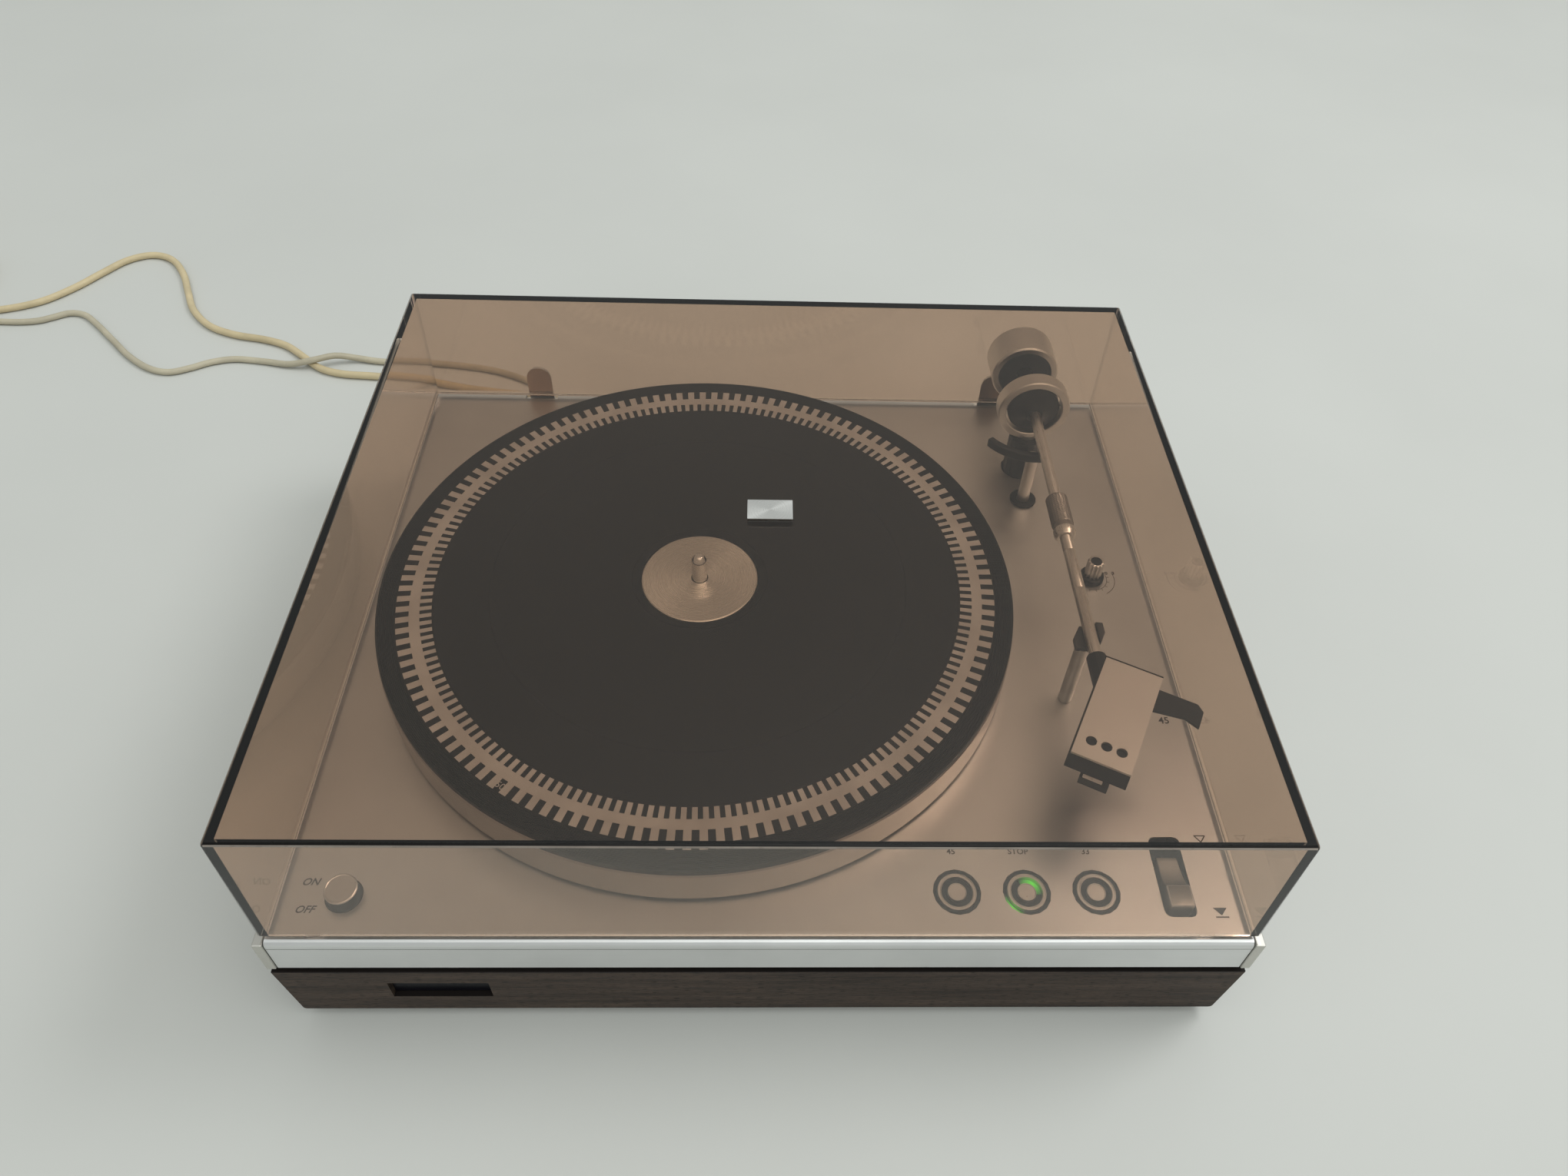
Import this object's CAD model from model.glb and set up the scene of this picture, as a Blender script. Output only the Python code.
"""Looks of the belt drive turntable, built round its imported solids.

Metres, in the same frame as the solids: +Z up, -Y to the front.
"""
from math import cos, pi, radians, sin

import bmesh
import bpy
from mathutils import Matrix, Vector


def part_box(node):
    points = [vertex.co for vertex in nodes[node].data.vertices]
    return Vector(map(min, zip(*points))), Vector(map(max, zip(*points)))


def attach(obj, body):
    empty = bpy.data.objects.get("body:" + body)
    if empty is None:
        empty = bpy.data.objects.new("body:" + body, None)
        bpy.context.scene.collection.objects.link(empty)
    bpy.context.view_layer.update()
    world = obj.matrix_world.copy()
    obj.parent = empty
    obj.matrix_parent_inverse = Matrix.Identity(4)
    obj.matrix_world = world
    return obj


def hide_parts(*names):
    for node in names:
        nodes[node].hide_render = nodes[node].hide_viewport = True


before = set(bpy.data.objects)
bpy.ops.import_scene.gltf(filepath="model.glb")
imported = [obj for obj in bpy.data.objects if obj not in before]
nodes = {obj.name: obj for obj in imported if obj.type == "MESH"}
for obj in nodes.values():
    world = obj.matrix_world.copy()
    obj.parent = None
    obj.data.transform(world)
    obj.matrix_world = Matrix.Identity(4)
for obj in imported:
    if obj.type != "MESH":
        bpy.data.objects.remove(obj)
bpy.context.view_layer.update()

# Camera, solved from the photograph
IMAGE_WIDTH = 2040
SENSOR = 36.0
FOCAL_PIXELS = 1469.159
CENTRE_PIXELS = (12.451, -53.892)
CAMERA_PLACE = (-0.006907, -0.361573, 0.495132)
CAMERA_YAW = radians(-2.919)
CAMERA_DOWN = radians(46.221)
CAMERA_ROLL = radians(2.812)

# Levels
DECK_TOP = 0.0683
REVEAL_LEVEL = 0.0436
HOLE_LEVEL = 0.026

# Cords, along the same route points as the solids. A point of (x, y) lies on the floor.
MAINS_FLOOR = 0.0026
SOUND_FLOOR = 0.0023
CASE_REAR = 0.1695
MAINS_X = -0.15
SOUND_X = -0.12
MAINS_RADIUS = 0.0025
SOUND_RADIUS = 0.0022
MAINS_TURNS = 6.25
SOUND_TURNS = 4.25
MAINS_COIL_RADIUS = 0.0355
SOUND_COIL_RADIUS = 0.0291
MAINS_TAIL = 0.062
SOUND_TAIL = 0.052
MAINS_PLUG_LEVEL = 0.0071
SOUND_PLUG_LEVEL = 0.0075
ROUTE_FINENESS = 40
ROUTE_STEP = 0.004
COIL_POINTS = 48
COIL_GAP = 0.0013
COIL_LAYER_GAP = 0.0008
COIL_LEAD = 0.005
COIL_JOIN = 0.0003
COIL_REVERSE_TURNS = 0.5
TAIL_EASE_SHARE = 0.7
TAIL_STEPS = 20
MAINS_ROUTE = (
    (0, 0.0353, 0.026), (0, 0.0465, 0.0248), (-0.006, 0.0635, 0.015), (-0.026, 0.0775, 0.006),
    (-0.055, 0.0865), (-0.087, 0.0945), (-0.119, 0.0985), (-0.143, 0.1005), (-0.16, 0.1065),
    (-0.174, 0.1185), (-0.19, 0.1315), (-0.208, 0.1385), (-0.23, 0.1435), (-0.251, 0.1535),
    (-0.269, 0.1725), (-0.281, 0.1955), (-0.293, 0.2195), (-0.308, 0.2385), (-0.325, 0.2445),
    (-0.341, 0.2365), (-0.353, 0.2185), (-0.365, 0.1985), (-0.382, 0.1795), (-0.406, 0.1685),
    (-0.43, 0.1655), (-0.46, 0.1655),
)
SOUND_ROUTE = (
    (0, 0.0078, 0.026), (-0.0002, 0.0205, 0.024), (-0.004, 0.0435, 0.012), (-0.014, 0.0665, 0.004),
    (-0.036, 0.0905), (-0.068, 0.1065), (-0.108, 0.1135), (-0.148, 0.1155),
    (-0.166, 0.1175, 0.0034), (-0.18, 0.1145, 0.0076), (-0.193, 0.1095, 0.0076),
    (-0.211, 0.1095, 0.0034), (-0.231, 0.1135), (-0.251, 0.1155), (-0.266, 0.1115),
    (-0.278, 0.1045), (-0.291, 0.0995), (-0.306, 0.1035), (-0.324, 0.1165), (-0.343, 0.1355),
    (-0.362, 0.1545), (-0.374, 0.1645), (-0.385, 0.1665), (-0.394, 0.1615), (-0.403, 0.1565),
    (-0.415, 0.1545), (-0.43, 0.1545), (-0.46, 0.1545),
)

# Places of the main pieces
PLATTER = (-0.0325, 0.0015)
ARM = (0.1418, 0.1095, 0.112)
HEADSHELL = (0.15615, -0.06825)
HEADSHELL_ANGLE = radians(27)
REST = (0.1391, -0.0502)
LIFT = (0.14, 0.0831)
KNOB = (0.1665, 0.0254)
POWER = (-0.1682, -0.1463)
TOUCH_Y = -0.1443
TOUCH_BUTTONS = (("45", 0.07755), ("stop", 0.1062), ("33", 0.13485))
STOP = (TOUCH_BUTTONS[1][1], TOUCH_Y)
LID_PLATE = (0.0002, 0.0004)

# Steps round a turned piece
FINE = 192
ROUND = 96
SMALL = 48
TINY = 24

# The slot that most bright metal goes in
SATIN = "satin_aluminium"


class Nodes:
    """A node tree, built by calls."""

    def __init__(self, tree):
        self.tree = tree

    def node(self, kind, inputs=None, **settings):
        node = self.tree.nodes.new("ShaderNode" + kind)
        for key, value in settings.items():
            setattr(node, key, value)
        for key, value in (inputs or {}).items():
            if isinstance(value, bpy.types.NodeSocket):
                self.tree.links.new(value, node.inputs[key])
            else:
                node.inputs[key].default_value = value
        return node

    def maths(self, operation, a, b=0.0):
        return self.node("Math", {0: a, 1: b}, operation=operation).outputs[0]


class Finish(Nodes):
    """A procedural material. A value that is the same all over sits on the shader's own socket."""

    def __init__(self, name, colour, roughness=0.5, metallic=0.0, **sockets):
        self.material = bpy.data.materials.new(name)
        self.material.use_nodes = True
        self.material.diffuse_color = (*colour, 1.0)
        super().__init__(self.material.node_tree)
        self.shader = self.tree.nodes["Principled BSDF"]
        self.shader.inputs["Base Color"].default_value = (*colour, 1.0)
        self.shader.inputs["Roughness"].default_value = roughness
        self.shader.inputs["Metallic"].default_value = metallic
        for socket, value in sockets.items():
            self.shader.inputs[socket.replace("_", " ")].default_value = value

    def where(self, stretch=(1, 1, 1), centre=(0, 0, 0)):
        """Object coordinates from a centre, stretched along each axis."""
        place = self.node("TexCoord").outputs["Object"]
        place = self.node("VectorMath", {0: place, 1: centre}, operation="SUBTRACT").outputs[0]
        return self.node("VectorMath", {0: place, 1: stretch}, operation="MULTIPLY").outputs[0]

    def noise(self, scale=1.0, place=None, detail=3.0, rough=0.5):
        place = place or self.where()
        settings = {"Vector": place, "Scale": scale, "Detail": detail, "Roughness": rough}
        return self.node("TexNoise", settings).outputs["Fac"]

    def spread(self, value, low, high, start=0.0, end=1.0):
        settings = {"Value": value, "From Min": start, "From Max": end, "To Min": low, "To Max": high}
        return self.node("MapRange", settings).outputs[0]

    def distance(self, centre, across=(1, 1, 0)):
        """Distance from an axis through a centre."""
        return self.node("VectorMath", {0: self.where(across, centre)}, operation="LENGTH").outputs["Value"]

    def rings(self, centre, scale, detail, rough, across=(1, 1, 0)):
        """Noise that is the same all the way round an axis."""
        place = self.node("CombineXYZ", {0: self.distance(centre, across)}).outputs[0]
        return self.noise(scale, place, detail, rough)

    def feed(self, socket, value):
        """Links a value to one of the shader's own sockets."""
        self.tree.links.new(value, self.shader.inputs[socket])
        return self

    def blend(self, share, low, high):
        """A colour that goes from low to high with a share. The numbers are the Mix node's colour sockets."""
        return self.node("Mix", {0: share, 6: low, 7: high}, data_type="RGBA").outputs[2]

    def fade(self, value, low, high, start=0.0, end=1.0):
        """A colour that goes from low to high as a value goes from start to end."""
        return self.blend(self.spread(value, 0.0, 1.0, start, end), (*low, 1.0), (*high, 1.0))

    def colours(self, value, low, high, start=0.0, end=1.0):
        return self.feed("Base Color", self.fade(value, low, high, start, end))

    def clouds(self, colour, share, scale, detail=4.0, start=0.3, end=0.7):
        """Soft patches, from a darker to a lighter shade of one colour."""
        low = [c * (1 - share) for c in colour]
        high = [min(1.0, c * (1 + share)) for c in colour]
        return self.colours(self.noise(scale, detail=detail), low, high, start, end)

    def darken(self, share, colour):
        """Goes over to another colour where a share is 1."""
        base = self.shader.inputs["Base Color"].links[0].from_socket
        return self.feed("Base Color", self.blend(share, base, (*colour, 1.0)))

    def roughnesses(self, value, low, high, start=0.0, end=1.0):
        return self.feed("Roughness", self.spread(value, low, high, start, end))

    def bump(self, height, depth):
        """Surface relief of a depth in metres."""
        node = self.node("Bump", {"Height": height, "Distance": depth, "Strength": 1.0})
        return self.feed("Normal", node.outputs["Normal"])


def plastic(name, colour, roughness, grain=2500, depth=0.00002, share=0.2, specular=0.5):
    """Moulded plastic, rubber or paint: a fine grain and faint clouds of wear."""
    made = Finish(name, colour, roughness, Specular_IOR_Level=specular)
    made.clouds(colour, share, 60, 5.0)
    made.roughnesses(made.noise(180), roughness - 0.08, roughness + 0.08, 0.3, 0.7)
    return made.bump(made.noise(grain), depth)


def brushed(name, colour, roughness, stretch, depth=0.00001, share=0.06):
    """Metal brushed along one axis: the stretch is small along it and large across."""
    made = Finish(name, colour, roughness, 1.0)
    lines = made.noise(1.0, made.where(stretch), 4.0, 0.7)
    made.clouds(colour, share, 18)
    made.roughnesses(lines, roughness - 0.07, roughness + 0.09, 0.3, 0.7)
    return made.bump(lines, depth)


def spun(name, colour, roughness, centre, across=(1, 1, 0), pitch=0.0002, depth=0.000012, share=0.06):
    """Metal turned on a lathe, with fine rings round an axis."""
    made = Finish(name, colour, roughness, 1.0, Anisotropic=0.9)
    made.feed("Tangent", made.node("Tangent", direction_type="RADIAL", axis="Z").outputs[0])
    rings = made.rings(centre, 1.0 / pitch, 2.0, 0.8, across)
    made.clouds(colour, share, 30)
    made.roughnesses(rings, roughness - 0.05, roughness + 0.08, 0.3, 0.7)
    return made.bump(rings, depth)


# Scales of the veneer's grain, along a face and up it
STREAKS = (55.0, 1500.0)
BANDS = (9.0, 190.0)
PORES = (230.0, 2300.0)
FACE_SHARE = 0.7


def wood(name):
    """Dark veneer whose grain runs along each face of the case."""
    made = Finish(name, (0.05, 0.034, 0.026), 0.55, Specular_IOR_Level=0.14)
    coords = made.node("TexCoord")
    place = made.node("SeparateXYZ", {0: coords.outputs["Object"]}).outputs
    facing = made.node("SeparateXYZ", {0: coords.outputs["Normal"]}).outputs
    on_side = made.maths("GREATER_THAN", made.maths("ABSOLUTE", facing[0]), FACE_SHARE)
    along = made.node("Mix", {0: on_side, 2: place[0], 3: place[1]}, data_type="FLOAT").outputs[0]

    def grain(scales, detail, rough=0.5):
        steps = {0: made.maths("MULTIPLY", along, scales[0]), 2: made.maths("MULTIPLY", place[2], scales[1])}
        return made.noise(1.0, made.node("CombineXYZ", steps).outputs[0], detail, rough)

    streaks = grain(STREAKS, 4.0, 0.65)
    bands = grain(BANDS, 3.0)
    both = made.maths("ADD", made.maths("MULTIPLY", streaks, 0.65), made.maths("MULTIPLY", bands, 0.35))
    made.colours(both, (0.015, 0.011, 0.009), (0.104, 0.074, 0.056), 0.38, 0.66)
    made.darken(made.spread(grain(PORES, 2.0), 0.0, 0.85, 0.58, 0.63), (0.006, 0.0045, 0.004))
    made.darken(made.maths("GREATER_THAN", place[2], REVEAL_LEVEL), (0.015, 0.0112, 0.0098))
    made.darken(made.maths("GREATER_THAN", facing[2], FACE_SHARE), (0.011, 0.0085, 0.0075))
    made.roughnesses(streaks, 0.42, 0.62, 0.3, 0.7)
    return made.bump(streaks, 0.00006)


def rough_board(name, colour):
    """Pressed board with coarse flecks."""
    made = Finish(name, colour, 0.8)
    made.clouds(colour, 0.35, 700, 5.0, 0.35, 0.65)
    return made.bump(made.noise(1600, detail=4.0), 0.00008)


def worked_face(name, colour, roughness, cloud_scale, metallic=0.0):
    """Plain or plated metal, or a board: clouds of tone and a fine surface."""
    made = Finish(name, colour, roughness, metallic)
    made.clouds(colour, 0.18, cloud_scale)
    return made.bump(made.noise(cloud_scale * 12), 0.00002)


def acrylic(name):
    """Clear smoked sheet, with faint smears."""
    made = Finish(name, (0.74, 0.607, 0.505), 0.02, Transmission_Weight=1.0, IOR=1.49)
    made.colours(made.noise(9, detail=3.0), (0.725, 0.592, 0.49), (0.755, 0.622, 0.52), 0.3, 0.7)
    return made.roughnesses(made.noise(25, detail=6.0, rough=0.7), 0.0, 0.05, 0.45, 0.75)


def mat_rubber(name):
    """Black rubber, with a faint bloom in rings and a little dust."""
    made = Finish(name, (0.01, 0.01, 0.01), 0.5, Specular_IOR_Level=0.3)
    rings = made.rings((*PLATTER, 0), 260.0, 3.0, 0.6)
    clouds = made.noise(22, detail=5.0)
    both = made.maths("ADD", made.maths("MULTIPLY", rings, 0.5), made.maths("MULTIPLY", clouds, 0.5))
    made.colours(both, (0.0035, 0.0035, 0.0035), (0.01, 0.0095, 0.009), 0.35, 0.65)
    return made.roughnesses(both, 0.46, 0.64, 0.3, 0.7)


def pale_print(name):
    """Pale print, a little worn."""
    made = Finish(name, (0.64, 0.62, 0.6), 0.5)
    made.colours(made.noise(45, detail=5.0), (0.54, 0.52, 0.5), (0.7, 0.68, 0.66), 0.3, 0.65)
    return made.roughnesses(made.noise(300), 0.45, 0.6)


looks = {
    "disc": spun("spun_disc", (0.8, 0.77, 0.72), 0.26, (*PLATTER, 0), (1, 1, 0), 0.00035),
    "plate": spun("spun_plate", (0.86, 0.86, 0.84), 0.22, (*LID_PLATE, 0), (1, 1, 0), 0.0003),
    "platter": spun("turned_skirt", (0.44, 0.418, 0.395), 0.34, (0, 0, 0), (0, 0, 1), 0.0004),
    "deck": brushed("deck_brushed", (0.74, 0.75, 0.75), 0.38, (25, 2600, 2600), 0.000012),
    "trim": brushed("trim_satin", (0.6, 0.59, 0.55), 0.44, (2600, 20, 2600), 0.000006),
    "satin": brushed("satin_aluminium", (0.76, 0.74, 0.71), 0.33, (900, 900, 900), 0.000006),
    "arm": brushed("arm_satin", (0.78, 0.76, 0.73), 0.3, (2500, 60, 2500), 0.000006),
    "shell": brushed("headshell_satin", (0.8, 0.785, 0.765), 0.42, (900, 900, 900), 0.000001),
    "touch": brushed("touch_satin", (0.66, 0.645, 0.625), 0.33, (900, 900, 900), 0.000002),
    "knurl": brushed("knurled_grey", (0.4, 0.385, 0.365), 0.52, (900, 900, 900), 0.000002),
    "steel": worked_face("zinc_steel", (0.58, 0.58, 0.57), 0.42, 60, 1.0),
    "chrome": worked_face("bright_chrome", (0.8, 0.79, 0.77), 0.14, 30, 1.0),
    "brass": worked_face("turned_brass", (0.78, 0.6, 0.3), 0.28, 80, 1.0),
    "wood": wood("wenge_veneer"),
    "board": rough_board("hardboard_brown", (0.12, 0.075, 0.045)),
    "rubber": plastic("black_rubber", (0.02, 0.019, 0.018), 0.75, 1800, 0.00003),
    "mat": mat_rubber("mat_rubber"),
    "strobe": pale_print("strobe_print"),
    "ink": plastic("print_ink", (0.045, 0.04, 0.036), 0.6, 4000, 0.000002),
    "black": plastic("black_moulded", (0.011, 0.0105, 0.0105), 0.42, 3500, 0.00001, specular=0.32),
    "black_metal": plastic("black_lacquer", (0.013, 0.0125, 0.0125), 0.36, 2500, 0.000006, specular=0.36),
    "badge": plastic("badge_black", (0.0045, 0.0045, 0.007), 0.35, 900, 0.000002, specular=0.12),
    "well": plastic("dark_well", (0.007, 0.0065, 0.006), 0.5, 2500, 0.000004, specular=0.16),
    "skirt": plastic("button_skirt", (0.03, 0.028, 0.026), 0.5, 2500, 0.000004, specular=0.3),
    "glint": plastic("worn_bright_edge", (0.95, 0.92, 0.88), 0.4, 2500, 0.000002),
    "rest": plastic("rest_grey", (0.055, 0.052, 0.049), 0.55),
    "circuit": worked_face("circuit_green", (0.06, 0.15, 0.06), 0.4, 140),
    "cream": plastic("cream_lead", (0.6, 0.5, 0.31), 0.5, 900, 0.00002, 0.12),
    "greyed": plastic("greyed_lead", (0.5, 0.455, 0.34), 0.5, 900, 0.00002, 0.12),
    "acrylic": acrylic("smoked_acrylic"),
    "acrylic_edge": plastic("acrylic_dark_edge", (0.004, 0.003, 0.0025), 0.2, 300, 0.000001, specular=0.22),
    "edge_light": plastic("acrylic_light_edge", (0.26, 0.225, 0.195), 0.3, 900, 0.000002),
}


def new_object(name, data):
    ob = bpy.data.objects.new(name, data)
    bpy.context.scene.collection.objects.link(ob)
    return ob


def place_piece(ob, look, body, slot, *replaced):
    """Gives a new object its look, the body that carries it, its slot and the nodes it stands for."""
    if look:
        ob.data.materials.append(looks[look].material)
    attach(ob, body)
    if replaced:
        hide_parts(*replaced)
    return ob


def from_bmesh(name, bm, angle=35.0):
    """An object from closed faces, smooth but for edges over an angle."""
    bmesh.ops.recalc_face_normals(bm, faces=bm.faces)
    mesh = bpy.data.meshes.new(name)
    bm.to_mesh(mesh)
    bm.free()
    ob = new_object(name, mesh)
    mesh.shade_smooth()
    mesh.set_sharp_from_angle(angle=radians(angle))
    return ob


AXES = {
    "Z": Matrix.Identity(4),
    "Y": Matrix.Rotation(-pi / 2, 4, "X"),
    "-Y": Matrix.Rotation(pi / 2, 4, "X"),
    "X": Matrix.Rotation(pi / 2, 4, "Y"),
}


def lathe(bm, profile, centre, steps=ROUND, axis="Z", flutes=None):
    """A turned solid from (radius, height) points along an axis. Flutes are (count, depth, low, high)."""
    turn = Matrix.Translation(centre) @ AXES[axis]
    rings = []
    for radius, height in profile:
        if radius == 0:
            rings.append([bm.verts.new(turn @ Vector((0, 0, height)))])
            continue
        ring = []
        for step in range(steps):
            angle = 2 * pi * step / steps
            r = radius
            if flutes and flutes[2] <= height <= flutes[3]:
                r -= flutes[1] * (0.5 - 0.5 * cos(flutes[0] * angle))
            ring.append(bm.verts.new(turn @ Vector((r * cos(angle), r * sin(angle), height))))
        rings.append(ring)
    closed = profile[0][0] > 0 and profile[-1][0] > 0
    pairs = list(zip(rings, rings[1:]))
    if closed:
        pairs.append((rings[-1], rings[0]))
    for upper, lower in pairs:
        for step in range(steps):
            after = (step + 1) % steps
            corners = [upper[step % len(upper)], upper[after % len(upper)]]
            corners += [lower[after % len(lower)], lower[step % len(lower)]]
            kept = list(dict.fromkeys(corners))
            if len(kept) > 2:
                bm.faces.new(kept)


def turned(name, profile, centre, look, *where, steps=SMALL, axis="Z", flutes=None, angle=35.0):
    """A turned piece. The rest of its arguments are its body, its slot and the nodes it stands for."""
    bm = bmesh.new()
    lathe(bm, profile, centre, steps, axis, flutes)
    return place_piece(from_bmesh(name, bm, angle), look, *where)


def prism(bm, outline, low, high, turn=None):
    """A straight solid between two levels, from an outline of (x, y) points."""
    turn = turn or Matrix.Identity(4)
    lower = [bm.verts.new(turn @ Vector((x, y, low))) for x, y in outline]
    upper = [bm.verts.new(turn @ Vector((x, y, high))) for x, y in outline]
    bm.faces.new(lower[::-1])
    bm.faces.new(upper)
    for index in range(len(outline)):
        after = (index + 1) % len(outline)
        bm.faces.new((lower[index], lower[after], upper[after], upper[index]))


def round_edges(bm, width, segments=3, angle=30.0):
    """Rounds the sharp edges of what is in the mesh so far."""
    bm.normal_update()
    limit = radians(angle)
    sharp = [e for e in bm.edges if len(e.link_faces) == 2 and e.calc_face_angle() > limit]
    bmesh.ops.bevel(bm, geom=sharp, offset=width, segments=segments, affect="EDGES", profile=0.5)


def arc(centre, radius, start, end, count):
    """Points on a circle from one angle to another, in degrees."""
    angles = [radians(start + (end - start) * i / (count - 1)) for i in range(count)]
    return [(centre[0] + radius * cos(a), centre[1] + radius * sin(a)) for a in angles]


def rounded(low, high, radius, count=6):
    """A rectangle with round corners, as an outline."""
    points = []
    for x, y, start in (
        (high[0] - radius, high[1] - radius, 0), (low[0] + radius, high[1] - radius, 90),
        (low[0] + radius, low[1] + radius, 180), (high[0] - radius, low[1] + radius, 270),
    ):
        points += arc((x, y), radius, start, start + 90, count)
    return points


def slab(name, layers, look, *where, edge=None, turn=None):
    """A piece of straight solids, each from an (outline, low, high). An edge is (width, segments)."""
    bm = bmesh.new()
    for outline, low, high in layers:
        prism(bm, outline, low, high, turn)
    if edge:
        round_edges(bm, *edge)
    return place_piece(from_bmesh(name, bm), look, *where)


def soften(node, width):
    """Small round edges on a solid that keeps its shape."""
    bevel = nodes[node].modifiers.new("edge", "BEVEL")
    bevel.width = width
    bevel.segments = 2
    bevel.limit_method = "ANGLE"
    bevel.angle_limit = radians(40)
    bevel.harden_normals = False


def dress(look, *names):
    """Gives solids that keep their shape a look."""
    for name in names:
        for each in nodes[name].material_slots:
            each.material = looks[look].material
        if not nodes[name].material_slots:
            nodes[name].data.materials.append(looks[look].material)


# Camera, light and floor
SKY_COLOUR = (0.97, 1.0, 0.975)
SKY_STRENGTH = 0.42
GLOWS = (((0.25, -0.3, 0.92), 6.0, 1.65), ((0.2, 0.45, 0.87), 6.0, 0.1))
LAMP_PLACE = (1.15, 0.25, 1.8)
LAMP_SIZE = 0.7
LAMP_POWER = 10.0
FLOOR_SIZE = 14.0
FLOOR_COLOUR = (0.6, 0.61, 0.585)


def add_camera():
    data = bpy.data.cameras.new("camera")
    data.sensor_width = SENSOR
    data.lens = FOCAL_PIXELS / IMAGE_WIDTH * SENSOR
    data.shift_x = -CENTRE_PIXELS[0] / IMAGE_WIDTH
    data.shift_y = CENTRE_PIXELS[1] / IMAGE_WIDTH
    data.clip_start = 0.01
    data.clip_end = 50
    forward = Vector((
        -sin(CAMERA_YAW) * cos(CAMERA_DOWN),
        cos(CAMERA_YAW) * cos(CAMERA_DOWN),
        -sin(CAMERA_DOWN),
    ))
    level = Vector((cos(CAMERA_YAW), sin(CAMERA_YAW), 0))
    raised = level.cross(forward)
    right = level * cos(CAMERA_ROLL) + raised * sin(CAMERA_ROLL)
    up = raised * cos(CAMERA_ROLL) - level * sin(CAMERA_ROLL)
    camera = new_object("camera", data)
    turn = Matrix((right, up, -forward)).transposed().to_4x4()
    camera.matrix_world = Matrix.Translation(CAMERA_PLACE) @ turn
    bpy.context.scene.camera = camera


def add_light():
    """A pale sky with two soft glows high up, and a soft lamp high at the right."""
    world = bpy.data.worlds.new("soft_studio")
    bpy.context.scene.world = world
    world.use_nodes = True
    sky = Nodes(world.node_tree)
    background = sky.tree.nodes["Background"]
    background.inputs["Color"].default_value = (*SKY_COLOUR, 1.0)
    coords = sky.node("TexCoord").outputs["Generated"]
    total = SKY_STRENGTH
    for direction, narrowness, strength in GLOWS:
        lean = sky.node("VectorMath", {0: coords, 1: Vector(direction).normalized()}, operation="DOT_PRODUCT")
        glow = sky.maths("POWER", sky.maths("MAXIMUM", lean.outputs["Value"]), narrowness)
        total = sky.maths("ADD", sky.maths("MULTIPLY", glow, strength), total)
    sky.tree.links.new(total, background.inputs["Strength"])
    data = bpy.data.lights.new("soft_lamp", "AREA")
    data.shape = "DISK"
    data.size = LAMP_SIZE
    data.energy = LAMP_POWER
    lamp = new_object("soft_lamp", data)
    lamp.location = LAMP_PLACE
    lamp.rotation_euler = Vector(LAMP_PLACE).to_track_quat("Z", "Y").to_euler()
    bpy.context.scene.view_settings.view_transform = "Standard"


def add_floor():
    pale = Finish("pale_table", FLOOR_COLOUR, 0.55, Specular_IOR_Level=0.3)
    pale.clouds(FLOOR_COLOUR, 0.03, 3.0, 5.0)
    bm = bmesh.new()
    bmesh.ops.create_grid(bm, x_segments=1, y_segments=1, size=FLOOR_SIZE / 2)
    mesh = bpy.data.meshes.new("table")
    bm.to_mesh(mesh)
    bm.free()
    table = new_object("table", mesh)
    table.data.materials.append(pale.material)


# Cords
def smooth_route(route, spacing):
    """Evenly spaced points on a smooth curve through the route's own points."""
    dense = []
    ends = [2 * Vector(route[0]) - Vector(route[1])]
    knots = ends + [Vector(p) for p in route] + [2 * Vector(route[-1]) - Vector(route[-2])]
    for a, b, c, d in zip(knots, knots[1:], knots[2:], knots[3:]):
        for step in range(ROUTE_FINENESS):
            t = step / ROUTE_FINENESS
            bend = (2 * a - 5 * b + 4 * c - d) * t**2 + (3 * b - a - 3 * c + d) * t**3
            dense.append((2 * b + (c - a) * t + bend) / 2)
    dense.append(knots[-2])
    lengths = [0.0]
    for a, b in zip(dense, dense[1:]):
        lengths.append(lengths[-1] + (b - a).length)
    count = round(lengths[-1] / spacing)
    points = []
    index = 0
    for step in range(count + 1):
        goal = lengths[-1] * step / count
        while index < len(lengths) - 2 and lengths[index + 1] < goal:
            index += 1
        share = (goal - lengths[index]) / (lengths[index + 1] - lengths[index])
        points.append(dense[index].lerp(dense[index + 1], share))
    return points


def coil_points(entry, turns, outer, diameter, way):
    """Loops that spiral in on the floor and out again on top, entered along -X."""
    pitch = diameter + COIL_GAP
    middle = turns / 2
    reverse = COIL_REVERSE_TURNS / 2
    least = outer - pitch * (middle - reverse)
    centre = (entry[0], entry[1] - way * outer)
    points = []
    for index in range(round(turns * COIL_POINTS) + 1):
        turn = index / COIL_POINTS
        radius = least + pitch * max(0.0, abs(turn - middle) - reverse)
        angle = way * (pi / 2 + 2 * pi * turn)
        climb = min(1.0, max(0.0, (turn - middle + reverse) / (2 * reverse)))
        height = entry[2] + (diameter + COIL_LAYER_GAP) * (1 - cos(pi * climb)) / 2
        x = centre[0] + radius * cos(angle)
        y = centre[1] + radius * sin(angle)
        points.append(Vector((x, y, height)))
    return points


def add_tail(points, length, end_height, way):
    """The last straight length, from the coil up to the plug."""
    last = points[-1].copy()
    for step in range(1, TAIL_STEPS + 1):
        share = step / TAIL_STEPS
        ease = min(1.0, share / TAIL_EASE_SHARE)
        height = last.z + (end_height - last.z) * (1 - cos(pi * ease)) / 2
        points.append(Vector((last.x, last.y - way * length * share, height)))


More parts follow.
